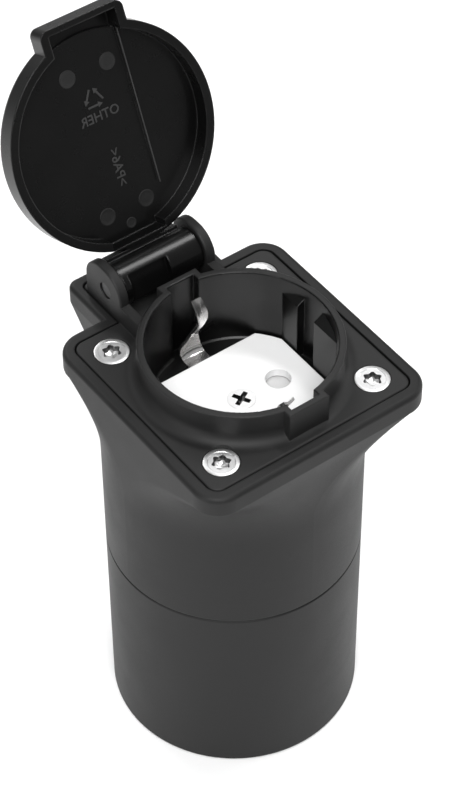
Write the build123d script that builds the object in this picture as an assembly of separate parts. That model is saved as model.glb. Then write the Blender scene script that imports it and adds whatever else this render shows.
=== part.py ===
from build123d import *
import os
from math import cos, radians, sin, sqrt

# Vehicle to load adapter, in millimetres, +Z up.
# The origin is on the axis of the round body, at its foot. The hinge is at the back (+Y).

os.makedirs("parts", exist_ok=True)

# Driving dimensions of the round body
sleeve_radius = 28.0
sleeve_wall = 2.8
seam_height = 50.0
seam_chamfer = 0.35
foot_rounding = 0.6

# Driving dimensions of the flange and of the flare below it
flange_height = 102.0
flange_corner = 6.0
flange_edge = 4.5
flange_rounding = 1.1
flare_foot = 74.0
flare_corner = 7.0
flare_power = 2.8
flare_shift_power = 2.0
flare_sections = 17
section_flat = 0.02
socket_shift = 3.1
hinge_block_width = 31.0
hinge_block_margin = 2.8
hinge_block_corner = 2.4
hinge_block_foot_width = 22.0
hinge_block_foot = 68.0

# Fits
fit_gap = 0.3
screw_gap = 0.08
running_gap = 0.08
contact_gap = 0.15

# Driving dimensions of the socket frame
plate_margin = 3.0
plate_corner = 2.6
plate_thickness = 3.0
tongue_width = 24.3
tongue_shift = -0.85
tongue_overhang = 9.0
collar_margin = 3.7
collar_wall = 1.55
collar_rise = 7.2
collar_fillet = 2.6
collar_edge = 0.35
plate_edge = 0.45
ear_edge = 0.4
pocket_width = 9.8
pocket_bulge = 1.4
pocket_wall = 1.5
floor_thickness = 4.2
floor_fillet = 0.4
bowl_depth = 10.0
lug_depth = 2.3
lug_slot = 5.6
lug_shift = 1.3
lug_width = 7.6
lug_rise = 3.0
lug_top_slope = 1.9
gasket_thickness = 0.8

# Driving dimensions of the hinge and the lid
hinge_stand_off = 8.4
hinge_rise = 5.4
open_angle = 113.6
pin_radius = 1.8
ear_radius = 5.6
ear_back = 1.6
ear_thickness = 2.2
barrel_radius = 4.7
barrel_cheek = 1.5
barrel_pocket_width = 9.8
barrel_pocket_front = 2.6
barrel_pocket_height = 2.9
rail_rise = 4.6
lid_shift = 0.77
lid_overhang = 2.8
lid_height = 5.5
lid_edge_rounding = 1.4
lid_floor_depth = 3.8
lid_wall = 1.9
lid_clearance = 0.3
lid_neck_width = 17.8
lid_neck_height = 3.8
lid_neck_reach = 5.1
lid_recess_width = 13.0
lid_back_wall = 1.0
catch_width = 19.8
catch_overhang = 4.7
catch_corner = 1.8
catch_wall = 1.4
catch_side_wall = 1.9
catch_depth = 4.5
rib_offset = 8.7
rib_width = 0.6
rib_height = 0.8
rib_front_gap = 2.2
rib_back_gap = 6.7

# Driving dimensions of the contacts in the socket
pin_spacing = 19.0
pin_hole_radius = 2.75
cover_gap = 0.25
cover_depth = 27.4
cover_thickness = 2.0
cover_rounding = 0.35
strap_width = 5.4
strap_thickness = 0.8
strap_bend = 1.0
strap_arm_width = 3.1
strap_knee = 8.6
shutter_radius = 13.2
shutter_thickness = 1.3
shutter_wing = 7.2
shutter_boss_radius = 2.8
shutter_window = 1.6
spring_wire = 0.5
spring_turns = 1.5
spring_pitch = 0.7
spring_radius = 4.4
base_clearance = 5.2
base_height = 15.8
contact_radius = 3.5
contact_wall = 1.0
contact_slit = 1.2
contact_depth = 12.0
block_size = 6.4
block_height = 8.0
wire_radius = 1.6
terminal_screw_radius = 1.4
terminal_screw_length = 5.0
terminal_head_radius = 2.4
terminal_head_height = 2.0
cover_screw_radius = 1.5
cover_screw_length = 15.0
cover_head_radius = 3.0

# Driving dimensions of the flange screws
screw_inset = 6.0
screw_radius = 1.9
screw_length = 13.0
screw_head_radius = 3.75
screw_head_edge = 0.5
screw_recess_radius = 1.9
screw_recess_depth = 1.2
spot_gap = 0.45

# Driving dimensions of the plug side
connector_gap = 4.7
insert_flat_drop = 6.0
insert_wall = 1.9
insert_rebate = 1.3
insert_front = 3.0
face_thickness = 3.0
carrier_thickness = 6.0
insert_head_gap = 1.2
ledge_thickness = 5.0
insert_flange = 3.5
retainer_thickness = 2.5
side_contact_gap = 1.1
low_contact_gap = 0.21
low_contact_angle = 29.45
small_contact_x = 6.5
small_contact_gap = 1.3
power_sleeve_radius = 4.0
power_bore_radius = 3.05
power_entry_radius = 3.5
signal_sleeve_radius = 2.3
signal_bore_radius = 1.55
signal_entry_radius = 1.9
pin_bore_length = 25.0
crimp_radius = 2.5
crimp_length = 5.0
crimp_depth = 4.0
insert_screw_count = 3
insert_screw_start = 30.0
insert_screw_radius = 1.3
insert_head_radius = 1.9
insert_head_height = 1.8
insert_screw_length = 9.0
resistor_radius = 1.2
resistor_length = 6.0
lead_radius = 0.35
resistor_rise = 3.0

# Driving dimensions of the joint between the two shells
spigot_length = 7.0
spigot_wall = 2.3
seal_ring_radius = 0.85
seal_ring_drop = 3.4
bead_drop = 5.8
bead_radius = 0.45

# Sizes worked out from the driving dimensions
flange_width = 2 * sleeve_radius
plate_width = flange_width - 2 * plate_margin
screw_spacing = plate_width - 2 * screw_inset
collar_radius = plate_width / 2 - collar_margin
collar_inner = collar_radius - collar_wall
pocket_reach = collar_radius + pocket_bulge
lug_inner = collar_inner - lug_depth
cover_width = 2 * (lug_inner - cover_gap)
hinge_reach = collar_radius + hinge_stand_off
tongue_back = hinge_reach - socket_shift + tongue_overhang
hinge_block_back = tongue_back + hinge_block_margin
lid_radius = collar_radius + lid_overhang
lid_recess_radius = lid_radius - lid_wall
lid_neck_front = hinge_reach - lid_neck_reach
lid_recess_back = lid_neck_front - lid_back_wall
catch_reach = collar_radius + catch_overhang
rib_front = lid_recess_radius - rib_front_gap
rib_back = lid_recess_radius - rib_back_gap
sleeve_bore = sleeve_radius - sleeve_wall
base_radius = sleeve_bore - base_clearance
insert_radius = sleeve_bore - connector_gap
insert_flat = insert_radius - insert_flat_drop
carrier_top = seam_height - spigot_length - insert_head_gap - insert_head_height - retainer_thickness
ledge_top = carrier_top - insert_flange
ledge_height = ledge_top - ledge_thickness
side_contact = insert_radius - insert_wall - power_sleeve_radius - side_contact_gap
small_contact_y = insert_flat - insert_wall - signal_sleeve_radius - small_contact_gap
low_circle = insert_radius - insert_wall - power_sleeve_radius - contact_gap - low_contact_gap
low_contact_x = low_circle * sin(radians(low_contact_angle))
low_contact_y = -low_circle * cos(radians(low_contact_angle))
insert_screw_circle = (insert_radius + fit_gap + sleeve_bore) / 2
collar_top = flange_height + collar_rise
cover_top = flange_height - bowl_depth
floor_top = cover_top - cover_thickness
floor_bottom = floor_top - floor_thickness
base_bottom = floor_bottom - base_height
face_top = insert_front + face_thickness
retainer_top = carrier_top + retainer_thickness
spigot_radius = sleeve_bore - fit_gap
hinge_y = hinge_reach - socket_shift
hinge_z = flange_height + hinge_rise
ear_inner = tongue_width / 2 - ear_thickness
hinge_line = Pos(tongue_shift, hinge_y, hinge_z) * Rot(0, 90, 0)
rim_height = collar_top + lid_clearance
bowl_clear_radius = sqrt(pocket_reach**2 + (pocket_width / 2) ** 2) + fit_gap
socket_axis = Pos(0, -socket_shift, 0)
pin_places = [(side * pin_spacing / 2, -socket_shift) for side in (-1, 1)]
screw_places = {
    f"flange_screw_{row}_{column}": (x * screw_spacing / 2, y * screw_spacing / 2 - socket_shift)
    for row, y in (("front", -1), ("back", 1))
    for column, x in (("left", -1), ("right", 1))
}
screw_step = 360 / insert_screw_count
insert_screw_angles = [insert_screw_start + screw_step * i for i in range(insert_screw_count)]
insert_screw_places = [
    (insert_screw_circle * cos(radians(a)), insert_screw_circle * sin(radians(a)))
    for a in insert_screw_angles
]
power_places = {
    "line_sleeve": (side_contact, 0),
    "neutral_sleeve": (-side_contact, 0),
    "earth_sleeve": (0, 0),
}
signal_places = {
    "pilot_sleeve": (-small_contact_x, small_contact_y),
    "proximity_sleeve": (small_contact_x, small_contact_y),
}
empty_places = [(-low_contact_x, low_contact_y), (low_contact_x, low_contact_y)]


def post(radius, low, high, x=0.0, y=0.0):
    """A round bar along Z between two heights."""
    return Pos(x, y, low) * Cylinder(radius, high - low, align=(Align.CENTER, Align.CENTER, Align.MIN))


def block(width, depth, low, high, x=0.0, y=0.0):
    """A plain block along Z between two heights, centred on x and y."""
    return Pos(x, y, low) * Box(width, depth, high - low, align=(Align.CENTER, Align.CENTER, Align.MIN))


def turned(points):
    """A solid turned about Z from a closed outline of radius and height."""
    outline = make_face(Polyline(*points, close=True))
    return revolve(Plane.XZ * outline, Axis.Z)


def prism(sketch, low, high):
    """A flat outline given thickness between two heights."""
    return extrude(Pos(0, 0, low) * sketch, high - low)


def back_strip(width, corner, back, x=0.0):
    """The outline of a strip that runs from the socket to the back."""
    return Pos(x, back / 2) * RectangleRounded(width, back, corner)


def flange_outline():
    """The flange seen from above, a rounded square with the hinge block behind it."""
    square = Pos(0, -socket_shift) * RectangleRounded(flange_width, flange_width, flange_corner)
    return square + back_strip(hinge_block_width, hinge_block_corner, hinge_block_back)


def plate_outline(grow=0.0):
    """The inset plate seen from above, with the tongue that carries the hinge."""
    side = plate_width + 2 * grow
    square = Pos(0, -socket_shift) * RectangleRounded(side, side, plate_corner + grow)
    tongue = back_strip(tongue_width + 2 * grow, plate_corner / 2 + grow, tongue_back + grow, tongue_shift)
    return square + tongue


def outer_section(height):
    """The outside of the upper shell at one height, round below the flare and nearly square above."""
    top = flange_height - flange_edge
    fraction = max(0, (height - flare_foot) / (top - flare_foot))
    eased = fraction**flare_power
    half = sleeve_radius + eased * (flange_width / 2 - sleeve_radius)
    corner = (half - section_flat) + eased * (flare_corner - half + section_flat)
    shift = -socket_shift * fraction**flare_shift_power
    return Pos(0, shift, height) * RectangleRounded(2 * half, 2 * half, corner)


def hinge_gusset():
    """The tapered rib that carries the hinge block down into the round body."""
    block_outline = back_strip(hinge_block_width, hinge_block_corner, hinge_block_back)
    top = Pos(0, 0, flange_height - flange_edge) * block_outline
    foot_back = sqrt(sleeve_radius**2 - (hinge_block_foot_width / 2) ** 2)
    foot = Pos(0, 0, hinge_block_foot) * back_strip(hinge_block_foot_width, hinge_block_corner, foot_back)
    return loft([foot, top])


def spigot_ring():
    """The ring under the seam that plugs into the sleeve, with a seal groove and a snap bead."""
    inner = spigot_radius - spigot_wall
    ring = turned([
        (inner, seam_height - spigot_length),
        (spigot_radius - seam_chamfer, seam_height - spigot_length),
        (spigot_radius, seam_height - spigot_length + seam_chamfer),
        (spigot_radius, seam_height + sleeve_wall),
        (inner, seam_height + sleeve_wall),
    ])
    groove_floor = sleeve_bore - 2 * seal_ring_radius - contact_gap
    groove_low = seam_height - seal_ring_drop - seal_ring_radius - contact_gap
    groove_high = seam_height - seal_ring_drop + seal_ring_radius + contact_gap
    groove = turned([
        (groove_floor, groove_low), (sleeve_bore, groove_low),
        (sleeve_bore, groove_high), (groove_floor, groove_high),
    ])
    bead_height = seam_height - bead_drop
    bead = turned([
        (inner, bead_height - bead_radius), (spigot_radius, bead_height - bead_radius),
        (sleeve_bore + bead_radius / 2, bead_height), (spigot_radius, bead_height + bead_radius),
        (inner, bead_height + bead_radius),
    ])
    return ring - groove + bead


def make_upper_housing():
    """The upper shell: flange, flare, round body and spigot, hollow inside."""
    edge_low = flange_height - flange_edge
    flange = prism(flange_outline(), edge_low, flange_height)
    flange = fillet(flange.edges().group_by(Axis.Z)[-1], flange_rounding)
    step = (edge_low - seam_height) / (flare_sections - 1)
    body = loft([outer_section(seam_height + i * step) for i in range(flare_sections)])
    shell = flange + body + hinge_gusset()
    shell -= turned([
        (sleeve_radius - seam_chamfer, seam_height), (sleeve_radius + seam_chamfer, seam_height),
        (sleeve_radius + seam_chamfer, seam_height + 2 * seam_chamfer),
    ])
    recess_floor = flange_height - plate_thickness - gasket_thickness
    bore_low = base_bottom + base_height / 2
    shell -= prism(plate_outline(fit_gap), recess_floor, flange_height)
    shell -= socket_axis * post(bowl_clear_radius, bore_low, recess_floor)
    spigot_bore = spigot_radius - spigot_wall
    shell -= turned([
        (0, seam_height), (spigot_bore, seam_height), (spigot_bore, seam_height + sleeve_wall),
        (sleeve_bore, seam_height + 2 * sleeve_wall), (sleeve_bore, bore_low), (0, bore_low),
    ])
    for x, y in screw_places.values():
        shell -= post(screw_radius + screw_gap, flange_height - screw_length - fit_gap, flange_height, x, y)
    return shell + spigot_ring()


def make_lower_sleeve():
    """The lower shell: a plain round sleeve with the groove that the snap bead clicks into."""
    top = seam_height
    bead_height = seam_height - bead_drop
    bead_depth = sleeve_bore + bead_radius / 2 + contact_gap
    bead_half = bead_radius + contact_gap
    return turned([
        (sleeve_bore, 0), (sleeve_radius - foot_rounding, 0), (sleeve_radius, foot_rounding),
        (sleeve_radius, top - seam_chamfer), (sleeve_radius - seam_chamfer, top), (sleeve_bore, top),
        (sleeve_bore, bead_height + bead_half), (bead_depth, bead_height),
        (sleeve_bore, bead_height - bead_half),
    ])


def make_insert_ring():
    """The ring bonded into the sleeve, which the plug insert passes through and is screwed to."""
    ring = post(sleeve_bore, ledge_height, ledge_top)
    ring -= post(insert_radius + fit_gap, ledge_height, ledge_top)
    low = retainer_top - insert_screw_length - contact_gap
    for x, y in insert_screw_places:
        ring -= post(insert_screw_radius + screw_gap, low, ledge_top, x, y)
    return ring


def make_body_seal():
    """The ring of round section in the spigot's groove."""
    centre = sleeve_bore - seal_ring_radius - contact_gap / 2
    return Pos(0, 0, seam_height - seal_ring_drop) * Torus(centre, seal_ring_radius)


def guide_lug(side, row):
    """One of the four guide lugs in the bowl, with its top sloping up to the wall."""
    near = lug_shift + row * lug_slot / 2
    far = lug_shift + row * (lug_slot / 2 + lug_width)
    top = flange_height + lug_rise
    wall_middle = collar_radius - collar_wall / 2
    profile = make_face(Polyline(
        (lug_inner, floor_top), (lug_inner, top), (wall_middle, top + lug_top_slope),
        (wall_middle, floor_top), close=True,
    ))
    lug = extrude(Plane.XZ.offset(-min(near, far)) * profile, -lug_width)
    lug = lug & post(wall_middle, floor_top, collar_top)
    return lug if side > 0 else mirror(lug, Plane.YZ)


def pocket_box(inset):
    """The pair of pockets for the earth arms, front and back, inset from their outer faces."""
    width = pocket_width - 2 * inset
    depth = 2 * (pocket_reach - inset)
    return block(width, depth, floor_top if inset else floor_bottom, collar_top)


def hinge_ear(side):
    """One hinge ear on the tongue, a rounded upright with the rail that runs to the collar."""
    outer = Pos(hinge_y + ear_back / 2, hinge_z) * SlotCenterToCenter(ear_back, 2 * ear_radius)
    foot_low = flange_height - plate_thickness / 2
    foot = Pos(hinge_y + ear_back / 2, (hinge_z + foot_low) / 2) * Rectangle(
        ear_back + 2 * ear_radius, hinge_z - foot_low)
    rail_x = tongue_width / 2 - tongue_shift
    rail_front = sqrt(collar_radius**2 - rail_x**2) - socket_shift - collar_wall / 2
    rail = make_face(Polyline(
        (rail_front, foot_low), (hinge_y, foot_low), (hinge_y, flange_height + rail_rise),
        (rail_front, flange_height + rail_rise), close=True,
    ))
    ear = extrude(Plane.YZ * (outer + foot), ear_thickness)
    rounded = [e for e in ear.edges() if e.geom_type == GeomType.CIRCLE]
    ear = fillet(rounded, ear_edge) + extrude(Plane.YZ * rail, ear_thickness)
    ear = Pos(ear_inner, 0, 0) * ear
    return Pos(tongue_shift, 0, 0) * (ear if side > 0 else mirror(ear, Plane.YZ))


def make_socket_frame():
    """The socket moulding: inset plate, collar, bowl with its floor, guide lugs and hinge ears."""
    plate_low = flange_height - plate_thickness
    plate = prism(plate_outline(), plate_low, flange_height)
    plate = fillet(plate.edges().group_by(Axis.Z)[-1], plate_edge)
    for side in (-1, 1):
        plate += hinge_ear(side)
    wall = post(collar_radius, floor_bottom, collar_top)
    foot = make_face(
        Polyline((collar_inner, flange_height), (collar_radius + collar_fillet, flange_height))
        + RadiusArc((collar_radius + collar_fillet, flange_height),
                    (collar_radius, flange_height + collar_fillet), collar_fillet)
        + Polyline((collar_radius, flange_height + collar_fillet),
                   (collar_inner, flange_height + collar_fillet), (collar_inner, flange_height))
    )
    skirt = revolve(Plane.XZ * foot, Axis.Z)
    outside = wall + skirt + pocket_box(0)
    inside = post(collar_inner, floor_top, collar_top) + pocket_box(pocket_wall)
    floor_ring = turned([
        (collar_inner, floor_top), (collar_inner, floor_top + floor_fillet),
        (collar_inner - floor_fillet, floor_top)
    ])
    arm_width = pocket_width - 2 * pocket_wall
    floor_ring -= block(arm_width, 2 * collar_radius, floor_top, floor_top + floor_fillet)
    lugs = [guide_lug(side, row) for side in (-1, 1) for row in (-1, 1)]
    bowl = outside - inside
    bowl = fillet(bowl.edges().group_by(Axis.Z)[-1], collar_edge)
    frame = plate - socket_axis * inside + socket_axis * bowl
    frame += socket_axis * floor_ring
    for lug in lugs:
        frame += socket_axis * lug
    for x, y in screw_places.values():
        frame -= post(screw_head_radius + spot_gap, flange_height, collar_top, x, y)
        frame -= post(screw_radius + fit_gap, plate_low, flange_height, x, y)
        frame -= Pos(x, y) * countersink(screw_gap)
    shutter_low = floor_top - shutter_thickness - 2 * fit_gap
    shutter_room = post(shutter_radius + 2 * fit_gap, shutter_low, floor_top)
    boss = post(shutter_boss_radius, floor_bottom, floor_top)
    spring_room = post(spring_radius + spring_wire, spring_floor(), floor_top - shutter_thickness)
    frame -= socket_axis * (shutter_room - boss)
    frame -= socket_axis * (spring_room - boss)
    frame -= socket_axis * post(cover_screw_radius + fit_gap, floor_bottom, floor_top)
    for x, y in pin_places:
        frame -= post(pin_hole_radius + fit_gap, floor_bottom, floor_top, x, y)
    leg_slot = strap_thickness + 2 * fit_gap
    frame -= block(strap_width + fit_gap, leg_slot, floor_bottom, floor_top, 0, strap_leg_y())
    return frame - hinge_line * Cylinder(pin_radius + screw_gap, 2 * tongue_width)


def spring_floor():
    """The height of the groove that the shutter's spring turns in."""
    return floor_top - shutter_thickness - 2 * fit_gap - spring_turns * spring_pitch - spring_wire


def countersink(gap=0.0):
    """The cone under a flange screw's head, with its upright edge, grown by a gap."""
    cone_height = screw_head_radius - screw_radius
    edge_low = flange_height - screw_head_edge - gap
    return turned([
        (0, flange_height), (screw_head_radius + gap, flange_height), (screw_head_radius + gap, edge_low),
        (screw_radius + gap, edge_low - cone_height), (0, edge_low - cone_height),
    ])


def make_flange_screw(x, y):
    """A countersunk stainless screw with a six-lobe recess."""
    screw = countersink() + post(screw_radius, flange_height - screw_length, flange_height - screw_head_edge)
    recess_low = flange_height - screw_recess_depth
    recess = post(screw_recess_radius * 0.72, recess_low, flange_height)
    for i in range(6):
        lobe_x = screw_recess_radius * 0.72 * cos(radians(60 * i))
        lobe_y = screw_recess_radius * 0.72 * sin(radians(60 * i))
        recess += post(screw_recess_radius * 0.28, recess_low, flange_height, lobe_x, lobe_y)
    return Pos(x, y) * (screw - recess)


def make_frame_gasket():
    """The flat gasket between the plate and the housing."""
    low = flange_height - plate_thickness - gasket_thickness
    sheet = prism(plate_outline(), low, low + gasket_thickness)
    sheet -= socket_axis * post(bowl_clear_radius, low, low + gasket_thickness)
    for x, y in screw_places.values():
        sheet -= post(screw_radius + fit_gap, low, low + gasket_thickness, x, y)
    return sheet


def strap_leg_y():
    """How far behind the sleeve's axis the strap's leg goes down through the floor."""
    return shutter_radius + 4 * fit_gap + strap_thickness - socket_shift


def make_earth_strap():
    """The bent earth strap: a base under the cover, two spring arms and a leg to the earth wire."""
    rest = floor_top + strap_thickness / 2
    reach = collar_inner - 2 * fit_gap - strap_thickness / 2
    arm = [
        (reach - 1.0, rest), (reach - 0.5, rest + 3.4), (reach - 3.3, rest + strap_knee),
        (reach - 2.9, rest + 15.0), (reach - 1.3, rest + 17.0),
    ]
    points = [(-y, z) for y, z in reversed(arm)] + arm
    path = FilletPolyline(*points, radius=strap_bend)
    ribbon = extrude(Plane.YZ * trace(path, strap_thickness), strap_width / 2, both=True)
    for side in (-1, 1):
        cut_x = -side * strap_arm_width
        cut_y = side * collar_inner / 2
        ribbon -= block(strap_width, collar_inner, rest + strap_knee, collar_top, cut_x, cut_y)
    ribbon = socket_axis * ribbon
    leg = block(strap_width - 2 * fit_gap, strap_thickness, earth_leg_end(), rest, 0, strap_leg_y())
    strap = ribbon + leg
    return strap - socket_axis * post(cover_screw_radius + fit_gap, floor_bottom, cover_top)


def earth_leg_end():
    """The lower end of the strap's leg, where the earth wire is joined."""
    return base_bottom - block_height / 2


def make_contact_cover():
    """The glossy white cover over the contacts."""
    plate = prism(Rectangle(cover_width, cover_depth), floor_top, cover_top)
    plate = plate & post(collar_inner - floor_fillet, floor_top, cover_top)
    plate = fillet(plate.edges().group_by(Axis.Z)[-1], cover_rounding)
    strap_room = strap_thickness + contact_gap
    plate -= block(strap_width + 2 * contact_gap, 2 * cover_depth, floor_top, floor_top + strap_room)
    for side in (-1, 1):
        plate -= post(pin_hole_radius, floor_top, cover_top, side * pin_spacing / 2)
    plate -= post(cover_screw_radius + fit_gap, floor_top, cover_top)
    plate -= cover_head(screw_gap)
    return socket_axis * plate


def cover_head(gap=0.0):
    """The countersunk head of the cover's centre screw, grown by a gap."""
    drop = cover_head_radius - cover_screw_radius
    return turned([
        (0, cover_top), (cover_head_radius + gap, cover_top), (cover_screw_radius + gap, cover_top - drop),
        (0, cover_top - drop),
    ])


def make_cover_screw():
    """The cover's centre screw with a cross recess."""
    screw = cover_head() + post(cover_screw_radius, cover_top - cover_screw_length, cover_top - contact_gap)
    arm = 2 * (cover_head_radius - 1.0)
    slot = block(arm, 0.7, cover_top - 0.8, cover_top)
    return socket_axis * (screw - slot - Rot(0, 0, 90) * slot)


def make_shutter():
    """The two-winged shutter that turns under the cover and closes the pin holes."""
    low = floor_top - shutter_thickness - fit_gap
    wings = post(shutter_radius, low, low + shutter_thickness) & block(
        3 * shutter_radius, shutter_wing, low, low + shutter_thickness)
    hub = post(shutter_boss_radius + shutter_window + running_gap, low, low + shutter_thickness)
    return socket_axis * (wings + hub - post(shutter_boss_radius + running_gap, low, floor_top))


def make_shutter_spring():
    """The small coil that turns the shutter back."""
    wire = spring_wire / 2
    middle = (spring_radius + shutter_boss_radius + running_gap) / 2
    low = spring_floor() + wire + contact_gap
    path = Helix(spring_pitch, spring_pitch * spring_turns, middle)
    section = Plane(path @ 0, z_dir=path % 0) * Circle(wire)
    return socket_axis * Pos(0, 0, low) * sweep(section, path=path, is_frenet=True)


def make_contact_base():
    """The insulating block below the bowl that holds the two live contacts."""
    base = post(base_radius, base_bottom, floor_bottom)
    base = chamfer(base.edges().group_by(Axis.Z)[0], 1.0)
    for side in (-1, 1):
        x = side * pin_spacing / 2
        base -= post(contact_radius + running_gap, base_bottom, floor_bottom, x)
    base -= post(cover_screw_radius + screw_gap, cover_top - cover_screw_length - fit_gap, floor_bottom)
    slot_y = strap_leg_y() + socket_shift
    notch = base_radius - slot_y + strap_thickness
    notch_y = slot_y + notch - strap_thickness
    base -= block(strap_width + fit_gap, 2 * notch, base_bottom, floor_bottom, 0, notch_y)
    return socket_axis * base


def make_live_contact(side):
    """A brass pin contact with a slit tube above and a screw terminal block below."""
    x = side * pin_spacing / 2
    top = base_bottom + contact_depth
    contact = post(contact_radius, base_bottom, top, x)
    contact -= post(contact_radius - contact_wall, base_bottom + contact_wall, top, x)
    contact -= block(contact_slit, 3 * contact_radius, base_bottom + 2 * contact_wall, top, x)
    contact += block(block_size, block_size, base_bottom - block_height, base_bottom, x)
    contact -= post(wire_radius + screw_gap, base_bottom - block_height, base_bottom - contact_wall, x)
    hole = Rot(0, side * 90, 0) * Cylinder(
        terminal_screw_radius + screw_gap, block_size, align=(Align.CENTER, Align.CENTER, Align.MIN))
    contact -= Pos(x, 0, base_bottom - block_height / 2) * hole
    return socket_axis * contact


def make_terminal_screw(side):
    """The small screw that clamps a wire in its terminal block."""
    shank = Cylinder(
        terminal_screw_radius, terminal_screw_length, align=(Align.CENTER, Align.CENTER, Align.MAX))
    head = Cylinder(
        terminal_head_radius, terminal_head_height, align=(Align.CENTER, Align.CENTER, Align.MIN))
    slot = Pos(0, 0, terminal_head_height) * Box(2 * terminal_head_radius, 0.6, 1.2)
    stand_off = max(terminal_screw_length - block_size / 2 + wire_radius + contact_gap, contact_gap)
    x = side * (pin_spacing / 2 + block_size / 2 + stand_off)
    screw = Rot(0, side * 90, 0) * (shank + head - slot)
    return Pos(x, -socket_shift, base_bottom - block_height / 2) * screw


def insert_section(inset, low, high):
    """The round plug section with one flat side, inset from its outside, between two heights."""
    radius = insert_radius - inset
    flat = insert_flat - inset
    return post(radius, low, high) & block(2 * radius, 2 * radius, low, high, 0, flat - radius)


def make_plug_insert():
    """The D-shaped shroud that the vehicle's connector closes round, with a rebate at each end."""
    shroud = insert_section(0, insert_front, ledge_top)
    shroud = chamfer(shroud.edges().group_by(Axis.Z)[0], insert_rebate / 2)
    shroud -= insert_section(insert_wall, insert_front, ledge_top)
    shroud -= insert_section(insert_rebate, insert_front, face_top)
    shroud -= insert_section(insert_rebate, carrier_top - carrier_thickness, ledge_top)
    return shroud


def make_insert_face():
    """The plate at the plug's mouth, with one entry for each pin of the vehicle's connector."""
    face = insert_section(insert_rebate + contact_gap, insert_front, face_top)
    for x, y in power_places.values():
        face -= post(power_entry_radius, insert_front, face_top, x, y)
    for x, y in signal_places.values():
        face -= post(signal_entry_radius, insert_front, face_top, x, y)
    for x, y in empty_places:
        face -= post(power_sleeve_radius + contact_gap, insert_front, face_top, x, y)
    return face


def make_contact_carrier():
    """The flanged block that closes the rear of the shroud and holds the five contact sleeves."""
    low = carrier_top - carrier_thickness
    carrier = insert_section(insert_rebate + contact_gap, low, carrier_top)
    carrier += post(spigot_radius, ledge_top, carrier_top)
    for x, y in power_places.values():
        carrier -= post(power_sleeve_radius + contact_gap, low, carrier_top, x, y)
    for x, y in signal_places.values():
        carrier -= post(signal_sleeve_radius + contact_gap, low, carrier_top, x, y)
    for x, y in insert_screw_places:
        carrier -= post(insert_screw_radius + fit_gap, ledge_top, carrier_top, x, y)
    return carrier


def make_retainer():
    """The disc behind the carrier that holds the contact sleeves in."""
    disc = post(spigot_radius, carrier_top, retainer_top)
    for x, y in list(power_places.values()) + list(signal_places.values()):
        disc -= post(crimp_radius + contact_gap, carrier_top, retainer_top, x, y)
    for x, y in insert_screw_places:
        disc -= post(insert_screw_radius + fit_gap, carrier_top, retainer_top, x, y)
    return disc


def make_insert_screw(x, y):
    """A pan head screw that clamps the retainer and the carrier to the ring."""
    screw = post(insert_screw_radius, retainer_top - insert_screw_length, retainer_top)
    screw += post(insert_head_radius, retainer_top, retainer_top + insert_head_height)
    socket = extrude(RegularPolygon(insert_screw_radius / sqrt(3), 6), insert_head_height)
    screw -= Pos(0, 0, retainer_top + insert_head_height / 3) * socket
    return Pos(x, y) * screw


def make_contact_sleeve(outer, bore, x, y):
    """A turned contact sleeve with a split mouth and a crimp barrel at its rear."""
    low = face_top
    sleeve = post(outer, low, carrier_top)
    crimp = min(crimp_radius, outer + contact_gap)
    crimp_top = carrier_top + retainer_thickness + crimp_length
    sleeve += post(crimp, carrier_top - contact_gap, crimp_top)
    sleeve -= post(bore, low, low + pin_bore_length)
    crimp_bore = min(wire_radius, crimp - contact_wall / 2) + screw_gap
    sleeve -= post(crimp_bore, crimp_top - crimp_depth, crimp_top)
    return Pos(x, y) * sleeve


def wire_run(points, bends):
    """A wire of round section along straight runs joined by arcs."""
    path = FilletPolyline(*points, radius=bends)
    section = Plane(path @ 0, z_dir=path % 0) * Circle(wire_radius)
    return sweep(section, path=path)


def make_live_wire(side):
    """A wire from a terminal block down to its contact sleeve."""
    x_top = side * pin_spacing / 2
    x_low = side * side_contact
    top = base_bottom - contact_wall - 2 * wire_radius
    low = retainer_top + crimp_length - crimp_depth + contact_gap
    swing_top = base_bottom - block_height - 2 * wire_radius
    swing_low = retainer_top + crimp_length + 2 * wire_radius
    points = [(x_top, -socket_shift, top), (x_top, -socket_shift, swing_top),
              (x_low, 0, swing_low), (x_low, 0, low)]
    return wire_run(points, 3 * wire_radius)


def make_earth_wire():
    """The wire from the strap's leg down to the earth sleeve."""
    low = retainer_top + crimp_length - crimp_depth + contact_gap
    swing_top = earth_leg_end() - 3 * wire_radius
    swing_low = retainer_top + crimp_length + 2 * wire_radius
    points = [(0, strap_leg_y(), earth_leg_end()), (0, strap_leg_y(), swing_top),
              (0, 0, swing_low), (0, 0, low)]
    return wire_run(points, 3 * wire_radius)


def make_coding_resistor():
    """The small resistor whose leads join the proximity sleeve and the earth sleeve."""
    x, y = signal_places["proximity_sleeve"]
    crimp_top = retainer_top + crimp_length
    height = crimp_top + resistor_rise
    start = (x, y, crimp_top - crimp_depth / 2)
    span = sqrt(x * x + y * y)
    end_fraction = (crimp_radius - contact_wall / 4) / span
    end = (x * end_fraction, y * end_fraction, crimp_top)
    path = FilletPolyline(start, (x, y, height), (end[0], end[1], height), end, radius=2 * lead_radius)
    lead = sweep(Plane(path @ 0, z_dir=path % 0) * Circle(lead_radius), path=path)
    middle = ((x + end[0]) / 2, (y + end[1]) / 2, height)
    body = Plane(middle, z_dir=(x, y, 0)) * Cylinder(resistor_radius, resistor_length)
    return lead + body


def lid_place():
    """Where the middle of the closed lid lies in the socket's own frame."""
    return Pos(0, lid_shift, 0)


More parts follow.
